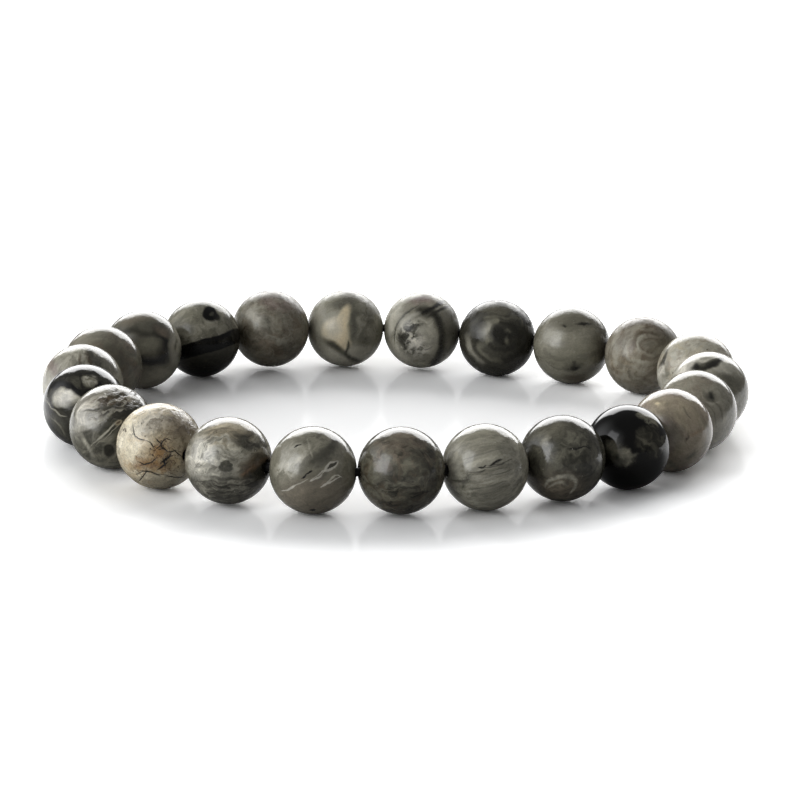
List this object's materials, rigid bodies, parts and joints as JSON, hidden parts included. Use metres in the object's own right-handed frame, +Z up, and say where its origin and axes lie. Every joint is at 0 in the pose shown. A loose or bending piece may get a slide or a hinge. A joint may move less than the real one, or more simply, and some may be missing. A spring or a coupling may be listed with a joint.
{
  "type": "beaded stretch bracelet",
  "caption": "Closed loop of round polished grey stone beads on an elastic cord, lying on a table in a slightly uneven oval.",
  "frame": {"origin": "middle of the loop's box, on the surface it lies on", "axes": "+X along the loop's longest side, across the front; +Y away from the front; +Z up, through the wrist opening"},
  "size_m": [0.07, 0.0634, 0.0083],
  "materials": {
    "stone_black": "polished",
    "stone_charcoal": "polished",
    "stone_olive": "polished",
    "stone_taupe": "polished",
    "stone_grey": "polished",
    "stone_pale": "polished",
    "stone_cream": "polished",
    "cord": "satin"
  },
  "bodies": {
    "root": {"bead_01": "stone_charcoal", "bead_02": "stone_grey", "bead_03": "stone_cream", "bead_04": "stone_grey", "bead_05": "stone_grey", "bead_06": "stone_olive", "bead_07": "stone_grey", "bead_08": "stone_olive", "bead_09": "stone_black", "bead_10": "stone_taupe", "bead_11": "stone_taupe", "bead_12": "stone_pale", "bead_13": "stone_pale", "bead_14": "stone_taupe", "bead_15": "stone_grey", "bead_16": "stone_charcoal", "bead_17": "stone_grey", "bead_18": "stone_pale", "bead_19": "stone_taupe", "bead_20": "stone_charcoal", "bead_21": "stone_olive", "bead_22": "stone_taupe", "bead_23": "stone_pale", "elastic_cord": "cord"}
  },
  "joints": []
}
